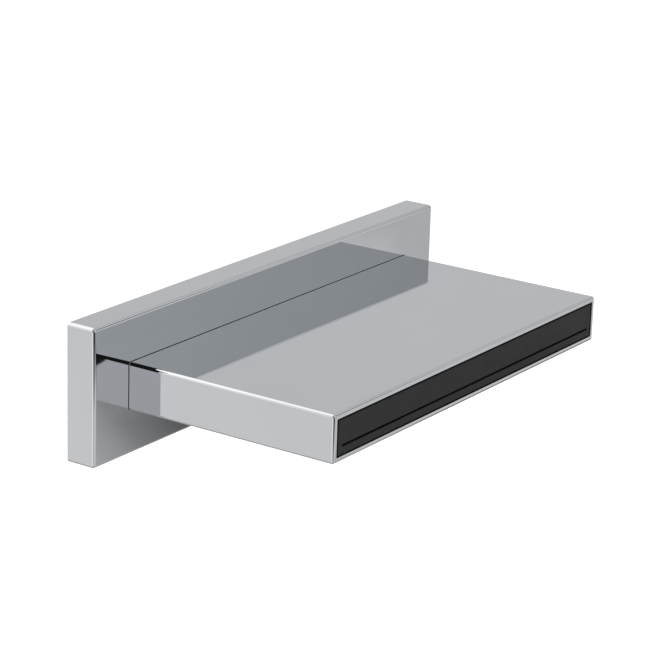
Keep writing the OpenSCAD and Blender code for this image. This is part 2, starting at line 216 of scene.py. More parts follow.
def make_camera():
    """The scene's camera, and the plain Standard view of its colours."""
    data = bpy.data.cameras.new("view")
    data.sensor_width = SENSOR
    data.lens = LENS
    data.clip_start, data.clip_end = CLIP_FROM * MM, CLIP_TO * MM
    camera = bpy.data.objects.new("view", data)
    right, up, back = camera_axes()
    place = (CAMERA_ACROSS * right + CAMERA_UP * up + CAMERA_DISTANCE * back) * MM
    turn = Matrix((right, up, back)).transposed().to_4x4()
    camera.matrix_world = Matrix.Translation(place) @ turn
    bpy.context.scene.collection.objects.link(camera)
    bpy.context.scene.camera = camera
    bpy.context.scene.view_settings.view_transform = "Standard"


# Shader helpers

# Values between which a noise mostly lies, for numbers and for colours
NOISE_RANGE = (0.25, 0.75)
COLOR_RANGE = (0.3, 0.7)


class Nodes:
    """A node tree with short calls for its nodes and links."""

    def __init__(self, tree):
        self.tree = tree

    def add(self, kind, **values):
        """A node with some properties and socket values set; _ stands for a space in a name."""
        node = self.tree.nodes.new(kind)
        for name, value in values.items():
            if name in node.bl_rna.properties:
                setattr(node, name, value)
            else:
                node.inputs[name.replace("_", " ")].default_value = value
        return node

    def link(self, out, into):
        """Links an output to an input."""
        self.tree.links.new(out, into)

    def surface(self, out):
        """Links a shader to the material's surface."""
        self.link(out, self.tree.nodes["Material Output"].inputs["Surface"])

    def math(self, operation, a, b=None):
        """A Math node on two sockets or numbers; returns its output."""
        node = self.tree.nodes.new("ShaderNodeMath")
        node.operation = operation
        for socket, value in zip(node.inputs, (a, b)):
            if isinstance(value, (int, float)):
                socket.default_value = value
            elif value is not None:
                self.link(value, socket)
        return node.outputs[0]


def new_material(name, color, metallic, roughness):
    """A Principled material; returns it, its nodes, its shader and the place in metres."""
    material = bpy.data.materials.new(name)
    material.use_nodes = True
    tree = Nodes(material.node_tree)
    shader = material.node_tree.nodes["Principled BSDF"]
    shader.inputs["Base Color"].default_value = (*color, 1)
    shader.inputs["Metallic"].default_value = metallic
    shader.inputs["Roughness"].default_value = roughness
    place = tree.add("ShaderNodeTexCoord").outputs["Object"]
    return material, tree, shader, place


def stretched(tree, place, scale):
    """The coordinates scaled by three numbers, so that a pattern runs along an axis."""
    mapping = tree.add("ShaderNodeMapping")
    mapping.inputs["Scale"].default_value = scale
    tree.link(place, mapping.inputs["Vector"])
    return mapping.outputs["Vector"]


def noise(tree, place, scale, detail=2):
    """A noise of a scale in waves per metre; returns its value."""
    node = tree.add("ShaderNodeTexNoise", Scale=scale, Detail=detail)
    tree.link(place, node.inputs["Vector"])
    return node.outputs["Fac"]


def spread(tree, value, low, high, into):
    """A noise value mapped to low..high and linked on."""
    start, end = NOISE_RANGE
    node = tree.add("ShaderNodeMapRange", From_Min=start, From_Max=end, To_Min=low, To_Max=high)
    tree.link(value, node.inputs["Value"])
    tree.link(node.outputs["Result"], into)


def two_colors(tree, value, first, second, into):
    """Colours from first to second by a noise value, linked on."""
    ramp = tree.add("ShaderNodeValToRGB")
    for element, position, color in zip(ramp.color_ramp.elements, COLOR_RANGE, (first, second)):
        element.position = position
        element.color = (*color, 1)
    tree.link(value, ramp.inputs["Fac"])
    tree.link(ramp.outputs["Color"], into)


def bump(tree, value, shader, strength, distance):
    """Relief in the shader's normal from a value, with its depth in metres."""
    node = tree.add("ShaderNodeBump", Strength=strength, Distance=distance)
    tree.link(value, node.inputs["Height"])
    tree.link(node.outputs["Normal"], shader.inputs["Normal"])


# Materials

METAL = 1
NO_METAL = 0

# Share of the haze in the chrome's unevenness; the rest are hairlines
HAZE_SHARE = 0.6

# Specular level of the dull plastics and rubber
DULL = 0.25

# Painted shade at the insert's ends: where they grow dark, in metres from its middle, and what is
# left of its colour there
FACE_ENDS = (0.1062, 0.1067)
END_SHADE = 0.1


def polished_chrome():
    """Bright plating with a faint haze and hairlines from wiping."""
    material, tree, shader, place = new_material(
        "polished_chrome", (0.795, 0.81, 0.83), METAL, 0.014)
    haze = noise(tree, place, 35, detail=4)
    hair = noise(tree, stretched(tree, place, (40, 900, 900)), 3, detail=3)
    clouds = tree.math("MULTIPLY", haze, HAZE_SHARE)
    lines = tree.math("MULTIPLY", hair, 1 - HAZE_SHARE)
    mixed = tree.math("ADD", clouds, lines)
    spread(tree, mixed, 0.006, 0.022, shader.inputs["Roughness"])
    two_colors(tree, haze, (0.785, 0.8, 0.82), (0.805, 0.82, 0.84), shader.inputs["Base Color"])
    return material


def painted_end_shade(tree, place):
    """1 over most of the insert, and less at its two ends: painted shade where they stand in the
    sleeve's shade.
    """
    split = tree.add("ShaderNodeSeparateXYZ")
    tree.link(place, split.inputs["Vector"])
    ends = tree.add("ShaderNodeMapRange", From_Min=FACE_ENDS[0], From_Max=FACE_ENDS[1],
                    To_Min=1.0, To_Max=END_SHADE)
    tree.link(tree.math("ABSOLUTE", split.outputs["X"]), ends.inputs["Value"])
    return ends.outputs["Result"]


def charcoal_plastic():
    """Moulded satin plastic with a fine spark-eroded grain, and painted shade at its two ends."""
    material, tree, shader, place = new_material(
        "charcoal_plastic", (0.017, 0.0175, 0.018), NO_METAL, 0.48)
    shader.inputs["Specular IOR Level"].default_value = DULL
    grain = noise(tree, place, 7000)
    cloud = noise(tree, place, 160, detail=3)
    # Painted shade: the colour grows dark at the insert's two ends
    painted_shade = painted_end_shade(tree, place)
    tone = tree.add("ShaderNodeVectorMath", operation="SCALE")
    two_colors(tree, cloud, (0.015, 0.0155, 0.016), (0.019, 0.0195, 0.02), tone.inputs[0])
    tree.link(painted_shade, tone.inputs["Scale"])
    tree.link(tone.outputs["Vector"], shader.inputs["Base Color"])
    spread(tree, grain, 0.42, 0.54, shader.inputs["Roughness"])
    bump(tree, grain, shader, strength=0.12, distance=0.00002)
    return material


def white_plastic():
    """Plain moulded plastic, a little uneven in tone and gloss."""
    material, tree, shader, place = new_material(
        "white_plastic", (0.78, 0.78, 0.76), NO_METAL, 0.42)
    cloud = noise(tree, place, 220, detail=3)
    two_colors(tree, cloud, (0.75, 0.75, 0.725), (0.8, 0.8, 0.785), shader.inputs["Base Color"])
    spread(tree, noise(tree, place, 5000), 0.36, 0.5, shader.inputs["Roughness"])
    return material


def black_rubber():
    """Moulded rubber with a fine grain."""
    material, tree, shader, place = new_material(
        "black_rubber", (0.026, 0.026, 0.0265), NO_METAL, 0.6)
    shader.inputs["Specular IOR Level"].default_value = DULL
    grain = noise(tree, place, 3500, detail=3)
    cloud = noise(tree, place, 300, detail=3)
    two_colors(tree, cloud, (0.02, 0.02, 0.0205), (0.032, 0.032, 0.033),
               shader.inputs["Base Color"])
    spread(tree, grain, 0.5, 0.72, shader.inputs["Roughness"])
    bump(tree, grain, shader, strength=0.2, distance=0.00003)
    return material


def foam_rubber():
    """Closed-cell sheet: small pores of different depth."""
    material, tree, shader, place = new_material("foam_rubber", (0.09, 0.09, 0.095), NO_METAL, 0.85)
    cells = tree.add("ShaderNodeTexVoronoi", Scale=1500, Randomness=1)
    tree.link(place, cells.inputs["Vector"])
    pores = cells.outputs["Distance"]
    two_colors(tree, pores, (0.05, 0.05, 0.053), (0.11, 0.11, 0.116), shader.inputs["Base Color"])
    spread(tree, noise(tree, place, 700), 0.78, 0.92, shader.inputs["Roughness"])
    bump(tree, pores, shader, strength=0.5, distance=0.00012)
    return material


def raw_brass():
    """Machined brass: fine tool marks, and a little tarnish in soft clouds."""
    material, tree, shader, place = new_material("raw_brass", (0.72, 0.55, 0.28), METAL, 0.3)
    rings = noise(tree, stretched(tree, place, (60, 2600, 60)), 1)
    cloud = noise(tree, place, 90, detail=4)
    two_colors(tree, cloud, (0.58, 0.42, 0.2), (0.78, 0.6, 0.32), shader.inputs["Base Color"])
    spread(tree, rings, 0.22, 0.38, shader.inputs["Roughness"])
    bump(tree, rings, shader, strength=0.12, distance=0.00003)
    return material


def zinc_steel():
    """Bright zinc plate with a faint blue and straw bloom."""
    material, tree, shader, place = new_material("zinc_steel", (0.62, 0.63, 0.65), METAL, 0.34)
    bloom = noise(tree, place, 60, detail=4)
    two_colors(tree, bloom, (0.6, 0.63, 0.68), (0.68, 0.66, 0.6), shader.inputs["Base Color"])
    spread(tree, noise(tree, place, 900, detail=3), 0.26, 0.42, shader.inputs["Roughness"])
    return material


def stainless():
    """Satin sheet, brushed along X."""
    material, tree, shader, place = new_material("stainless", (0.6, 0.6, 0.6), METAL, 0.32)
    brushed = noise(tree, stretched(tree, place, (60, 2400, 2400)), 2, detail=3)
    two_colors(tree, brushed, (0.55, 0.55, 0.555), (0.65, 0.65, 0.645), shader.inputs["Base Color"])
    spread(tree, brushed, 0.24, 0.4, shader.inputs["Roughness"])
    return material


FINISHES = {
    "polished_chrome": polished_chrome,
    "charcoal_plastic": charcoal_plastic,
    "white_plastic": white_plastic,
    "black_rubber": black_rubber,
    "foam_rubber": foam_rubber,
    "raw_brass": raw_brass,
    "zinc_steel": zinc_steel,
    "stainless": stainless,
}


# Mesh helpers

def to_object(name, bm):
    """An object in the scene with the bmesh's faces as they are."""
    mesh = bpy.data.meshes.new(name)
    bm.to_mesh(mesh)
    bm.free()
    piece = bpy.data.objects.new(name, mesh)
    bpy.context.scene.collection.objects.link(piece)
    return piece


def from_bmesh(name, bm):
    """An object in the scene from the bmesh of a solid, whose faces are turned outwards."""
    bmesh.ops.recalc_face_normals(bm, faces=bm.faces)
    return to_object(name, bm)


def shade(piece):
    """Smooth rounds between flat faces that stay flat, and sharp edges where the angle is steep."""
    bm = bmesh.new()
    bm.from_mesh(piece.data)
    for face in bm.faces:
        face.smooth = True
    for edge in bm.edges:
        edge.smooth = len(edge.link_faces) == 2 and edge.calc_face_angle(0) < STEEP
    bm.to_mesh(piece.data)
    bm.free()
    weights = piece.modifiers.new("weights", "WEIGHTED_NORMAL")
    weights.keep_sharp = True
    weights.weight = 100


def baked(piece):
    """Applies the piece's modifiers to its mesh."""
    seen = piece.evaluated_get(bpy.context.evaluated_depsgraph_get())
    mesh = bpy.data.meshes.new_from_object(seen)
    piece.modifiers.clear()
    piece.data = mesh


def combine(piece, tool, operation):
    """Unites a piece with a tool or cuts the tool from it, and removes the tool."""
    step = piece.modifiers.new("combine", "BOOLEAN")
    step.operation = operation
    step.solver = "EXACT"
    step.object = tool
    baked(piece)
    bpy.data.objects.remove(tool)


def arc(count, start=0.0, end=90.0):
    """Angles in radians from start to end, both included."""
    return [math.radians(start + (end - start) * i / count) for i in range(count + 1)]


def bridge(bm, rows, closed):
    """Faces between rows of equally many points: a closed ring, or else a tube with capped ends."""
    rows = [[bm.verts.new(Vector(p) * MM) for p in row] for row in rows]
    if closed:
        pairs = zip(rows, rows[1:] + rows[:1])
    else:
        pairs = zip(rows, rows[1:])
        bm.faces.new(rows[0])
        bm.faces.new(rows[-1])
    for row, following in pairs:
        for i in range(len(row)):
            j = (i + 1) % len(row)
            bm.faces.new((row[i], row[j], following[j], following[i]))


def rect_loop(w, h, r, out):
    """A rounded rectangle in X and Z at a distance out from the wall, in millimetres."""
    r = max(r, TINY)
    points = []
    for quarter, (sx, sz) in enumerate(((1, 1), (-1, 1), (-1, -1), (1, -1))):
        cx, cz = sx * (w / 2 - r), sz * (h / 2 - r)
        for a in arc(CORNER_STEPS, 90 * quarter, 90 * quarter + 90):
            points.append((cx + r * math.cos(a), -out, cz + r * math.sin(a)))
    return points


def swept(name, loops):
    """A closed ring of faces through loops."""
    bm = bmesh.new()
    bridge(bm, loops, True)
    bmesh.ops.remove_doubles(bm, verts=bm.verts, dist=WELD * MM)
    return from_bmesh(name, bm)


def outer_round(w, h, r, front):
    """Loops that turn from the sides of a block onto its front, which lies at a distance front."""
    return [
        rect_loop(w - 2 * r * (1 - math.cos(a)), h - 2 * r * (1 - math.cos(a)), r * math.cos(a),
                  front - r + r * math.sin(a))
        for a in arc(CORNER_STEPS)
    ]


def inner_round(w, h, r, front, corner):
    """Loops that turn from a front at a distance front into a hole of w by h."""
    return [
        rect_loop(w + 2 * r * (1 - math.sin(a)), h + 2 * r * (1 - math.sin(a)),
                  corner + r * (1 - math.sin(a)), front - r + r * math.cos(a))
        for a in arc(SMALL_STEPS)
    ]


def block(low, high):
    """A box between two corners in millimetres, for use in a boolean step."""
    bm = bmesh.new()
    bmesh.ops.create_cube(bm, size=1)
    for v in bm.verts:
        v.co = Vector([(lo if c < 0 else hi) * MM for c, lo, hi in zip(v.co, low, high)])
    return from_bmesh("tool", bm)


def upright_rod(r, x, out, low, high):
    """A cylinder along Z in millimetres, for use in a boolean step."""
    bm = bmesh.new()
    bmesh.ops.create_cone(bm, cap_ends=True, segments=ROD_STEPS, radius1=r * MM, radius2=r * MM,
                          depth=(high - low) * MM)
    bmesh.ops.translate(bm, verts=bm.verts, vec=Vector((x, -out, (low + high) / 2)) * MM)
    return from_bmesh("tool", bm)


def turned(name, profile, hollow, xs=(0.0,)):
    """Solids turned about lines along Y at each x; a radius is a number or follows the angle."""
    bm = bmesh.new()
    angles = [2 * math.pi * i / TURN_STEPS for i in range(TURN_STEPS)]
    for x in xs:
        rows = []
        for y, r in profile:
            radii = [r(a) if callable(r) else r for a in angles]
            rows.append([(x + q * math.cos(a), y, q * math.sin(a)) for q, a in zip(radii, angles)])
        bridge(bm, rows, hollow)
    return from_bmesh(name, bm)


def thread(start, end, sizes, tip):
    """Profile of a screw thread along Y, which fades in and ends in a chamfer of radius tip."""
    root, crest, pitch = sizes
    middle, swing = THREAD_WAVE
    count = math.ceil((end - start) / pitch * ROWS_PER_PITCH)
    rows = []
    for i in range(count + 1):
        y = start + (end - start) * i / count
        height = (crest - root) * min(1, (y - start) / pitch)
        limit = tip + THREAD_CHAMFER * (end - y)

        def radius(angle, y=y, height=height, limit=limit):
            wave = middle + swing * math.cos(2 * math.pi * y / pitch - angle)
            return min(root + height * min(1, max(0, wave)), limit)

        rows.append((y, radius))
    return rows


def softened(node, width):
    """A copy of a CAD solid whose steep edges are rounded by a width in millimetres."""
    bm = bmesh.new()
    bm.from_mesh(NODES[node].data)
    bmesh.ops.remove_doubles(bm, verts=bm.verts, dist=FINE_WELD * MM)
    bmesh.ops.dissolve_limit(bm, angle_limit=FLAT, verts=bm.verts, edges=bm.edges)
    steep = [e for e in bm.edges if len(e.link_faces) == 2 and e.calc_face_angle(0) > STEEP]
    bmesh.ops.bevel(bm, geom=steep, offset=width * MM, segments=SOFT_STEPS, profile=0.5,
                    affect="EDGES", clamp_overlap=True)
    return from_bmesh(node + "_soft", bm)


# Chrome pieces

def plate_loops():
    """The plate's shell: its outside, the hole for the spout, the rim of the seal, the pocket."""
    w, h, depth = PLATE
    pocket_w, pocket_h = w - 2 * PLATE_WALL, h - 2 * PLATE_WALL
    pocket_d = depth - PLATE_FACE
    hole_w, rim_h = (size + 2 * SEAM_GAP for size in SPOUT)
    hole_h = SPOUT[1] + 2 * SEAM_TOP_GAP
    hole_r = SPOUT_EDGE_R + SEAM_GAP
    rim_in, rim_out = RIM_SPREADS
    rim_back = FLANGE_FRONT + RIM_CLEAR
    edge = PLATE_BREAK
    loops = [rect_loop(w - 2 * edge, h - 2 * edge, PLATE_EDGE_R - edge, 0)]
    loops += [rect_loop(w, h, PLATE_EDGE_R, edge)]
    loops += outer_round(w, h, PLATE_EDGE_R, depth)
    loops += inner_round(hole_w, hole_h, edge, depth, hole_r)
    return loops + [
        rect_loop(hole_w, hole_h, hole_r, pocket_d),
        rect_loop(hole_w + rim_in, rim_h + rim_in, hole_r + rim_in / 2, pocket_d),
        rect_loop(hole_w + rim_in, rim_h + rim_in, hole_r + rim_in / 2, rim_back),
        rect_loop(hole_w + rim_out, rim_h + rim_out, hole_r + rim_out / 2, rim_back),
        rect_loop(hole_w + rim_out, rim_h + rim_out, hole_r + rim_out / 2, pocket_d),
        rect_loop(pocket_w, pocket_h, POCKET_R, pocket_d),
        rect_loop(pocket_w, pocket_h, POCKET_R, edge),
        rect_loop(pocket_w + 2 * edge, pocket_h + 2 * edge, POCKET_R + edge, 0),
    ]


def make_wall_plate():
    """Shell with rounded edges, the rim of its seal, two ribs and two bosses with screw holes."""
    piece = swept("wall_plate_shell", plate_loops())
    h, depth = PLATE[1:]
    inside = (h - 2 * PLATE_WALL) / 2 + PLATE_FACE / 2
    front = depth - PLATE_FACE + PLATE_FACE / 2
    for x in (-RIB_X, RIB_X):
        low = (x - RIB_HALF_W, -front, RIB_LOW)
        high = (x + RIB_HALF_W, -RIB_BACK, inside)
        combine(piece, block(low, high), "UNION")
        combine(piece, upright_rod(BOSS_R, x, BOSS_OUT, -inside, BOSS_TOP), "UNION")
        hole = upright_rod(SCREW_HOLE_R, x, BOSS_OUT, -h / 2 - OVERLAP, SCREW_HOLE_TOP)
        combine(piece, hole, "DIFFERENCE")
    return piece


def make_spout_body():
    """Sleeve with rounded outside edges, a softened mouth and the two ledges inside."""
    w, h = SPOUT
    inner_w, inner_h = w - 2 * SPOUT_WALL, h - 2 * SPOUT_WALL
    loops = [rect_loop(w, h, SPOUT_EDGE_R, SPOUT_BACK)]
    loops += outer_round(w, h, SPOUT_EDGE_R, MOUTH)
    loops += inner_round(inner_w, inner_h, MOUTH_BREAK, MOUTH, SPOUT_INNER_R)
    loops += [rect_loop(inner_w, inner_h, SPOUT_INNER_R, SPOUT_BACK)]
    piece = swept("spout_sleeve", loops)
    ledge_from, ledge_to, ledge_h = LEDGE
    reach = inner_w / 2 + OVERLAP
    for side in (-1, 1):
        low, high = sorted((side * (inner_h / 2 + OVERLAP), side * (inner_h / 2 - ledge_h)))
        ledge = block((-reach, -ledge_to, low), (reach, -ledge_from, high))
        combine(piece, ledge, "UNION")
    return piece


# Inlet and fixings

def make_inlet_tail():
    """Turned tail: groove for the O-ring, shank, relief, outside thread and the strainer's seat."""
    seat_r, seat_d = STRAINER_SEAT
    groove_in, groove_out, groove_d = TAIL_GROOVE
    shank_end, relief_from, fade_in = TAIL_RELIEF
    edge = TAIL_BREAK
    profile = [
        (TAIL_FRONT, groove_out),
        (TAIL_FRONT, TAIL_SHANK_R - edge),
        (TAIL_FRONT + edge, TAIL_SHANK_R),
        (TAIL_THREAD_FROM - shank_end, TAIL_SHANK_R),
        (TAIL_THREAD_FROM - relief_from, TAIL_THREAD[0]),
    ]
    profile += thread(TAIL_THREAD_FROM - fade_in, TAIL_OUT, TAIL_THREAD, TAIL_TIP_R)
    profile += [
        (TAIL_OUT, seat_r + edge),
        (TAIL_OUT - edge, seat_r),
        (TAIL_OUT - seat_d, seat_r),
        (TAIL_OUT - seat_d, TAIL_BORE_R + edge),
        (TAIL_OUT - seat_d - edge, TAIL_BORE_R),
        (TAIL_FRONT + edge, TAIL_BORE_R),
        (TAIL_FRONT, TAIL_BORE_R + edge / 2),
        (TAIL_FRONT, groove_in),
        (TAIL_FRONT + groove_d, groove_in),
        (TAIL_FRONT + groove_d, groove_out),
    ]
    return turned("inlet_tail_turned", profile, True)


def make_strainer_ring():
    """Rubber ring that holds the gauze, with rounded lips."""
    inner, outer, low, high = STRAINER_RING
    lip = STRAINER_LIP
    turn = arc(RING_STEPS)
    profile = [(low, inner + lip / 4), (low, outer)]
    profile += [(high - lip + lip * math.sin(a), outer - lip + lip * math.cos(a)) for a in turn]
    profile += [(high - lip + lip * math.cos(a), inner + lip - lip * math.sin(a)) for a in turn]
    return turned("strainer_ring_moulded", profile, True)


def add_wire(bm, offset, along_x, lift):
    """One wavy wire of the gauze, at an offset from the middle; lift is 1 or -1 for its wave."""
    half = math.sqrt(GAUZE_R ** 2 - offset ** 2)
    count = max(WIRE_STEPS_LEAST, round(2 * half / WIRE_PITCH * WIRE_STEPS_PER_PITCH))
    rows = []
    for i in range(count + 1):
        s = -half + 2 * half * i / count
        height = lift * WIRE_LIFT * WIRE_R * math.cos(math.pi * s / WIRE_PITCH)
        row = []
        for k in range(WIRE_SIDES):
            a = 2 * math.pi * k / WIRE_SIDES
            across, y = offset + WIRE_R * math.cos(a), GAUZE_Y + height + WIRE_R * math.sin(a)
            row.append((s, y, across) if along_x else (across, y, s))
        rows.append(row)
    bridge(bm, rows, False)


def make_strainer_gauze():
    """Round piece of plain-woven wire, in which the wires pass over and under each other."""
    bm = bmesh.new()
    count = int((GAUZE_R - WIRE_PITCH / 2) / WIRE_PITCH)
    for k in range(-count, count + 1):
        turn = 1 if k % 2 else -1
        add_wire(bm, k * WIRE_PITCH, True, turn)
        add_wire(bm, k * WIRE_PITCH, False, -turn)
    return from_bmesh("strainer_gauze", bm)


def make_studs():
    """Two studs: the end in the flange, a plain shank through the panel, and the threaded end."""
    shank_end, relief_from = STUD_RELIEF
    edge = STUD_BREAK
    profile = [
        (STUD_FRONT, STUD_CORE_R - edge),
        (STUD_FRONT + edge, STUD_CORE_R),
        (STUD_NECK, STUD_CORE_R),
        (STUD_NECK, STUD_R - edge / 2),
        (STUD_NECK + edge / 2, STUD_R),
        (PANEL - shank_end, STUD_R),
        (PANEL - relief_from, STUD_THREAD[0]),
    ]
    profile += thread(PANEL, STUD_END, STUD_THREAD, STUD_TIP_R)
    return turned("fixing_studs_turned", profile, False, (-STUD_X, STUD_X))


def make_washers():
    """Two stamped washers, rounded on one side."""
    inner, outer, thickness = WASHER
    edge = WASHER_ROUND
    back = BAR_BACK + thickness
    turn = arc(SMALL_STEPS)
    profile = [
        (BAR_BACK, inner),
        (BAR_BACK, outer - WASHER_BREAK),
        (BAR_BACK + WASHER_BREAK, outer),
    ]
    profile += [(back - edge + edge * math.sin(a), outer - edge + edge * math.cos(a)) for a in turn]
    profile += [(back - edge + edge * math.cos(a), inner + edge - edge * math.sin(a)) for a in turn]
    return turned("stud_washers_stamped", profile, True, (-STUD_X, STUD_X))


def make_nuts():
    """Two hexagon nuts, chamfered at both ends and countersunk at the thread."""
    seat, flat = BAR_BACK + WASHER[2], NUT_FLATS / 2
    share, depth, slope = NUT_CHAMFER

    def hexagon(inward):
        """Radius of the hexagon with its corners chamfered, at a distance inward from an end."""
        cap = share * flat + slope * inward

        def radius(angle):
            turn = (angle + math.pi / 6) % (math.pi / 3) - math.pi / 6
            return min(flat / math.cos(turn), cap)

        return radius

    rising = [depth * i / NUT_STEPS for i in range(NUT_STEPS + 1)]
    profile = [(seat + d, hexagon(d)) for d in rising]
    profile += [(seat + NUT_T - d, hexagon(d)) for d in reversed(rising)]
    profile += [
        (seat + NUT_T, NUT_BORE_R + NUT_SINK),
        (seat + NUT_T - NUT_SINK, NUT_BORE_R),
        (seat + NUT_SINK, NUT_BORE_R),
        (seat, NUT_BORE_R + NUT_SINK),
    ]
    return turned("stud_nuts_hexagon", profile, True, (-STUD_X, STUD_X))


# Outlet pieces

def make_insert_seal():
    """Rubber ring of the cartridge, with two rounded lips."""
    w, h = SEAL_SIZE
    loops = []
    for i in range(SEAL_STEPS + 1):
        share = i / SEAL_STEPS
        inset = SEAL_LIP * (0.5 + 0.5 * math.cos(4 * math.pi * share))
        out = SEAL_FROM + SEAL_LEN * share
        loops.append(rect_loop(w - 2 * inset, h - 2 * inset, SEAL_CORNER_R, out))
    for out in (SEAL_FROM + SEAL_LEN, SEAL_FROM):
        loops.append(rect_loop(w - 2 * SEAL_DEPTH, h - 2 * SEAL_DEPTH, SEAL_CORNER_R, out))
    return swept("insert_seal_ribbed", loops)


def lower_face(piece):
    """Lets down the lower edge of the insert's face, where its gap to the mouth is finest."""
    for vert in piece.data.vertices:
        if any(-vert.co.y > out * MM and vert.co.z < low * MM for out, low in FACE_LIMITS):
            vert.co.z -= FACE_DROP * MM


def thin_lip(piece):
    """Thins the collar seal's lip above and below the spout, where the plate's gap is finest."""
    low, high = (v * MM for v in LIP_RANGE)
    for vert in piece.data.vertices:
        height = abs(vert.co.z)
        if -vert.co.y > LIP_OUT * MM and low < height < high:
            vert.co.z *= (low + (height - low) * LIP_SHARE) / height


# Widths by which the edges of the other solids are softened, in millimetres
SOFT_EDGES = {
    "outlet_insert": 0.1,
    "collar_seal": 0.08,
    "mount_flange": 0.3,
    "flange_gasket": 0.3,
    "wall_gasket": 0.5,
    "backing_pad": 0.4,
    "backing_bar": 0.4,
    "plate_screws": 0.15,
}

# Functions that build the pieces anew
MADE = {
    "wall_plate": make_wall_plate,
    "spout_body": make_spout_body,
    "inlet_tail": make_inlet_tail,
    "strainer_ring": make_strainer_ring,
    "strainer_mesh": make_strainer_gauze,
    "fixing_studs": make_studs,
    "stud_washers": make_washers,
    "stud_nuts": make_nuts,
    "insert_seal": make_insert_seal,
}

# Steps that change a softened solid's shape a little
ADJUSTED = {"outlet_insert": lower_face, "collar_seal": thin_lip}

# Nodes of the body that is drawn out; all others are on the filler
CARTRIDGE = ("outlet_insert", "insert_seal", "flow_straightener", "cartridge_screws")


def place_piece(piece, node, materials, slot):
    """Finishes a piece that stands for a CAD node, and sets it on that node's body."""
    shade(piece)
    piece.data.materials.clear()
    piece.data.materials.append(materials[slot])
    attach(piece, "cartridge" if node in CARTRIDGE else "filler")
    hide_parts(node)


def dress():
    """Builds the pieces, and gives the CAD nodes that stay their materials."""
    slots = {row["node"]: row["material_slot"] for row in frame["record"]["subparts"]}
    materials = {slot: make() for slot, make in FINISHES.items()}
    for node, make in MADE.items():
        place_piece(make(), node, materials, slots[node])
    for node, width in SOFT_EDGES.items():
        piece = softened(node, width)
        if node in ADJUSTED:
            ADJUSTED[node](piece)
        place_piece(piece, node, materials, slots[node])
    for name, node in NODES.items():
        for holder in node.material_slots:
            holder.material = materials[slots[name]]


# Studio in metres: floor, soft light, and the wall, flag and shade that only reflections see, which
# are painted reflections, highlights and a painted shadow

WORLD_LIGHT = 0.7
CENTRE = Vector((0, -0.06, 0))
FLOOR_Z = -0.5
FLOOR_SIZE = 14.0
FLOOR_CELLS = 8
FLOOR_LEVEL = 0.86
FLOOR_ROUGHNESS = 0.9
FLOOR_SPECULAR = 0.1
FLOOR_GLOW = 0.45

# Lamps: name, azimuth, elevation, distance, size and power
LAMPS = (
    ("key", -60, 62, 1.6, (1.2, 1.2), 14),
    ("rear_top", 180, 55, 1.6, (1.6, 1.0), 16),
)

# The studio wall: its radius, its gap to the floor, its lowest and highest elevation and its
# steps in degrees, and its level
WALL_R = 1.0
WALL_CLEAR = 0.02
WALL_LOW = -88
WALL_HIGH = 90
WALL_STEP = 1
WALL_LEVEL = 0.6

# Tints
COOL = (0.985, 0.99, 1.0)
NEUTRAL = (1.0, 0.995, 0.992)
SLATE = (0.985, 1.02, 1.045)

# Areas of the studio wall, painted reflections and highlights for the chrome, each over those
# before it:
# azimuths, elevations, the levels at the two azimuths, the soft border and the tint
WALL_AREAS = (
    ((-180, 180), (-95, -34), (0.42, 0.42), 14, COOL),
    ((-112, -72), (2, 42), (0.42, 0.42), 12, COOL),
    ((84, 152), (-34, -8), (0.8, 0.66), 10, COOL),
    ((150, 214), (-30, 38), (0.66, 0.9), 12, COOL),
    ((-150, -104), (-4, 34), (0.85, 0.85), 6, NEUTRAL),
    ((-150, -100), (-36, -4), (0.7, 0.64), 6, NEUTRAL),
    ((-99, -64), (-36, 0), (0.85, 0.85), 4, NEUTRAL),
    ((-64, -44), (-32, -13), (0.48, 0.48), 2, COOL),
    ((36, 80), (-34, 2), (0.49, 0.49), 6, COOL),
    ((36, 55), (-34, -19), (0.42, 0.42), 5, COOL),
    ((51, 62.5), (-21.2, -14), (0.63, 0.6), 1.5, COOL),
    ((48.1, 51.5), (-22.1, -17), (0.62, 0.62), 0.8, COOL),
    ((96, 150), (-6, 38), (0.56, 0.56), 8, COOL),
    ((36, 76), (2, 26), (0.47, 0.275), 4, SLATE),
    ((44, 62), (-9, 12), (0.64, 0.64), 3, COOL),
    ((57, 112), (23.5, 50), (0.66, 0.4), 4, COOL),
    ((-70, -34), (-13, 30), (0.01, 0.01), 3, COOL),
    ((-53, -37), (-18.1, -12), (0.02, 0.02), 1.2, COOL),
    ((-37, -20), (-19.1, -12), (0.02, 0.02), 1.2, COOL),
    ((-65, -52), (-15.5, -12), (0.02, 0.02), 0.8, COOL),
    ((-20, -5), (-17.9, -12), (0.02, 0.02), 1, COOL),
    ((140, 232), (28, 66), (1.2, 1.2), 8, NEUTRAL),
)

# A black bow on that wall, a painted dark reflection along the chrome's rounded edges: its angles
# from -Y, its elevations, its level and its soft borders
BOW_AWAY = (53.0, 61.5)
BOW_ELEVATIONS = (23.5, 95.0)
BOW_LEVEL = 0.01
BOW_BORDERS = (2.0, 3.0)

# A dark flag in front of that wall, a painted dark reflection in the chrome: its distance, its
# level, and its corners' azimuths and elevations
FLAG_R = 0.97
FLAG_LEVEL = 0.01
FLAG = (
    (-54.0, -18.4), (-56.14, -16.86), (-56.54, -16.59), (-56.72, -16.4), (-57.4, -15.6),
    (-57.4, -12.0), (-54.0, -12.0),
)

# Painted shadow of the spout, a dark sheet under it that only reflections see, in millimetres: its
# edges, its height, its cells, its level and its soft border. SHADE_STEPS gives how much it hides
# by the measure SHADE_ACROSS . (x, y).
SHADE_X = (-110.0, 190.0)
SHADE_Y = (-160.0, -16.0)
SHADE_Z = -45.0
SHADE_CELLS = (100, 48)
SHADE_LEVEL = 0.05
SHADE_BORDER = 12.0
SHADE_ACROSS = (0.814, 0.581)
SHADE_STEPS = (
    (-104.7, 0.02), (-91.0, 0.22), (-79.0, 0.52), (-70.0, 0.62), (-59.0, 0.75), (-54.6, 0.8),
    (-45.0, 0.86),
)


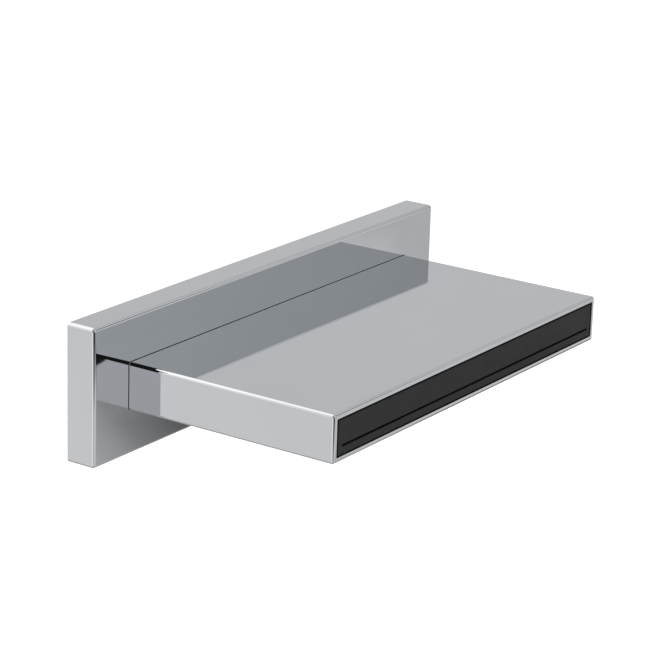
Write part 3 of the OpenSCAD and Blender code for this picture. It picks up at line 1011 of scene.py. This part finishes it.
def background_strength(tree, others):
    """1 for rays from the camera, off gloss and through glass, and another value for the rest."""
    path = tree.add("ShaderNodeLightPath")
    seen = tree.math("MAXIMUM", path.outputs["Is Camera Ray"], path.outputs["Is Glossy Ray"])
    seen = tree.math("MAXIMUM", seen, path.outputs["Is Transmission Ray"])
    strength = tree.add("ShaderNodeMapRange", To_Min=others, To_Max=1.0)
    tree.link(seen, strength.inputs["Value"])
    return strength.outputs["Result"]


def make_world():
    """White to the camera and in reflections, and plain soft light for everything else."""
    world = bpy.data.worlds.new("studio")
    bpy.context.scene.world = world
    world.use_nodes = True
    tree = Nodes(world.node_tree)
    background = world.node_tree.nodes["Background"]
    background.inputs["Color"].default_value = (1, 1, 1, 1)
    tree.link(background_strength(tree, WORLD_LIGHT), background.inputs["Strength"])


def make_floor():
    """A pale floor below, which keeps the part's shadow."""
    bm = bmesh.new()
    bmesh.ops.create_grid(bm, x_segments=FLOOR_CELLS, y_segments=FLOOR_CELLS, size=FLOOR_SIZE / 2)
    bmesh.ops.translate(bm, verts=bm.verts, vec=(0, 0, FLOOR_Z))
    floor = to_object("floor", bm)
    material = bpy.data.materials.new("pale_floor")
    material.use_nodes = True
    tree = Nodes(material.node_tree)
    shader = material.node_tree.nodes["Principled BSDF"]
    shader.inputs["Base Color"].default_value = (FLOOR_LEVEL, FLOOR_LEVEL, FLOOR_LEVEL, 1)
    shader.inputs["Roughness"].default_value = FLOOR_ROUGHNESS
    shader.inputs["Specular IOR Level"].default_value = FLOOR_SPECULAR
    glow = tree.add("ShaderNodeEmission", Color=(1, 1, 1, 1))
    strength = tree.math("MULTIPLY", background_strength(tree, 0.0), FLOOR_GLOW)
    tree.link(strength, glow.inputs["Strength"])
    both = tree.add("ShaderNodeAddShader")
    tree.link(shader.outputs["BSDF"], both.inputs[0])
    tree.link(glow.outputs["Emission"], both.inputs[1])
    tree.surface(both.outputs["Shader"])
    floor.data.materials.append(material)


def smooth(share):
    """An even rise from 0 to 1 that starts and ends gently."""
    share = min(1.0, max(0.0, share))
    return share * share * (3 - 2 * share)


def within(value, low, high, border):
    """1 between low and high and 0 beyond them, with a soft change as wide as the border."""
    return smooth((value - low) / border + 0.5) * smooth((high - value) / border + 0.5)


def area_share(azimuth, elevation, azimuths, elevations, border):
    """How much of an area a direction gets, and how far along the area's azimuths it lies."""
    low, high = azimuths
    share = within(elevation, *elevations, border)
    if high - low >= 360:
        return share, 0.0
    middle = (low + high) / 2
    azimuth = middle + (azimuth - middle + 180) % 360 - 180
    along = min(1.0, max(0.0, (azimuth - low) / (high - low)))
    return share * within(azimuth, low, high, border), along


def bow_share(azimuth, elevation):
    """How much of the black bow a direction gets."""
    away = math.degrees(math.acos(max(-1.0, min(1.0, -direction(azimuth, elevation).y))))
    border, end_border = BOW_BORDERS
    return within(away, *BOW_AWAY, border) * within(elevation, *BOW_ELEVATIONS, end_border)


def wall_color(azimuth, elevation):
    """Colour of the studio wall in a direction: the painted reflection that the chrome mirrors
    there.
    """
    color = WALL_LEVEL * Vector(COOL)
    for azimuths, elevations, levels, border, tint in WALL_AREAS:
        share, along = area_share(azimuth, elevation, azimuths, elevations, border)
        if share > 0:
            color = color.lerp((levels[0] + (levels[1] - levels[0]) * along) * Vector(tint), share)
    return color.lerp(BOW_LEVEL * Vector(COOL), bow_share(azimuth, elevation))


def glow_material(name):
    """A material without its Principled shader; returns it and its nodes."""
    material = bpy.data.materials.new(name)
    material.use_nodes = True
    material.node_tree.nodes.remove(material.node_tree.nodes["Principled BSDF"])
    return material, Nodes(material.node_tree)


def reflections_only(piece):
    """Hides a piece of the studio from everything but reflections."""
    piece.visible_camera = False
    piece.visible_diffuse = False
    piece.visible_shadow = False
    piece.visible_transmission = False


def wall_point(towards):
    """Where the studio wall lies in a direction: on its round, or just above the floor."""
    reach = WALL_R
    if towards.z < 0:
        reach = min(reach, (-FLOOR_Z - WALL_CLEAR) / -towards.z)
    return CENTRE + towards * reach


def make_studio_wall():
    """A round matt wall that glows in grey, dark and bright areas: painted reflections and
    highlights for the chrome.
    """
    bm = bmesh.new()
    shades = bm.verts.layers.float_color.new("shade")
    columns = 360 // WALL_STEP
    rows = []
    for elevation in range(WALL_LOW, WALL_HIGH + 1, WALL_STEP):
        row = []
        for i in range(columns):
            azimuth = -180 + i * WALL_STEP
            vert = bm.verts.new(wall_point(direction(azimuth, elevation)))
            vert[shades] = (*wall_color(azimuth, elevation), 1)
            row.append(vert)
        rows.append(row)
    for row, following in zip(rows, rows[1:]):
        for i in range(columns):
            j = (i + 1) % columns
            bm.faces.new((row[i], row[j], following[j], following[i]))
    bm.faces.new(rows[0])
    wall = to_object("studio_wall", bm)
    material, tree = glow_material("wall_glow")
    glow = tree.add("ShaderNodeEmission", Strength=1.0)
    color = tree.add("ShaderNodeAttribute", attribute_name="shade").outputs["Color"]
    tree.link(color, glow.inputs["Color"])
    tree.surface(glow.outputs["Emission"])
    wall.data.materials.append(material)
    reflections_only(wall)


def make_flag():
    """A small dark flag just inside the studio wall, a painted dark reflection that only
    reflections see.
    """
    bm = bmesh.new()
    bm.faces.new([bm.verts.new(CENTRE + direction(*corner) * FLAG_R) for corner in FLAG])
    bmesh.ops.triangulate(bm, faces=bm.faces)
    flag = to_object("dark_flag", bm)
    material, tree = glow_material("flag_glow")
    glow = tree.add("ShaderNodeEmission", Color=(1, 1, 1, 1), Strength=FLAG_LEVEL)
    tree.surface(glow.outputs["Emission"])
    flag.data.materials.append(material)
    reflections_only(flag)


def shade_cover(x, y):
    """How much the painted shadow hides at a place, from 0 to 1."""
    measure = SHADE_ACROSS[0] * x + SHADE_ACROSS[1] * y
    cover = SHADE_STEPS[-1][1] if measure >= SHADE_STEPS[-1][0] else 0.0
    for (a, low), (b, high) in zip(SHADE_STEPS, SHADE_STEPS[1:]):
        if a <= measure < b:
            cover = low + (high - low) * (measure - a) / (b - a)
    for value, (low, high) in ((x, SHADE_X), (y, SHADE_Y)):
        cover *= smooth((value - low) / SHADE_BORDER) * smooth((high - value) / SHADE_BORDER)
    return cover


def make_painted_shadow():
    """A dark, partly clear sheet below the spout: the spout's painted shadow, which only
    reflections see.
    """
    bm = bmesh.new()
    covers = bm.verts.layers.float_color.new("shade")
    columns, rows = SHADE_CELLS
    grid = []
    for i in range(columns + 1):
        x = SHADE_X[0] + (SHADE_X[1] - SHADE_X[0]) * i / columns
        line = []
        for j in range(rows + 1):
            y = SHADE_Y[0] + (SHADE_Y[1] - SHADE_Y[0]) * j / rows
            vert = bm.verts.new(Vector((x, y, SHADE_Z)) * MM)
            cover = shade_cover(x, y)
            vert[covers] = (cover, cover, cover, 1)
            line.append(vert)
        grid.append(line)
    for i in range(columns):
        for j in range(rows):
            bm.faces.new((grid[i][j], grid[i + 1][j], grid[i + 1][j + 1], grid[i][j + 1]))
    shade_sheet = to_object("painted_shadow_below", bm)
    material, tree = glow_material("painted_shadow_glow")
    clear = tree.add("ShaderNodeBsdfTransparent")
    dark = tree.add("ShaderNodeEmission", Color=(1, 1, 1, 1), Strength=SHADE_LEVEL)
    mix = tree.add("ShaderNodeMixShader")
    tree.link(tree.add("ShaderNodeAttribute", attribute_name="shade").outputs["Fac"], mix.inputs[0])
    tree.link(clear.outputs["BSDF"], mix.inputs[1])
    tree.link(dark.outputs["Emission"], mix.inputs[2])
    tree.surface(mix.outputs["Shader"])
    shade_sheet.data.materials.append(material)
    reflections_only(shade_sheet)


def make_lamp(name, azimuth, elevation, distance, size, power):
    """A soft rectangular lamp, which reflections don't show: they show the studio wall."""
    data = bpy.data.lights.new(name, "AREA")
    data.shape = "RECTANGLE"
    data.size, data.size_y = size
    data.energy = power
    lamp = bpy.data.objects.new(name, data)
    towards = direction(azimuth, elevation)
    lamp.location = CENTRE + towards * distance
    lamp.rotation_mode = "QUATERNION"
    lamp.rotation_quaternion = towards.to_track_quat("Z", "Y")
    lamp.visible_camera = False
    lamp.visible_glossy = False
    bpy.context.scene.collection.objects.link(lamp)


def make_studio():
    """Builds all that stands or shines round the part."""
    make_world()
    make_floor()
    make_studio_wall()
    make_flag()
    make_painted_shadow()
    for values in LAMPS:
        make_lamp(*values)


make_camera()
make_studio()
dress()
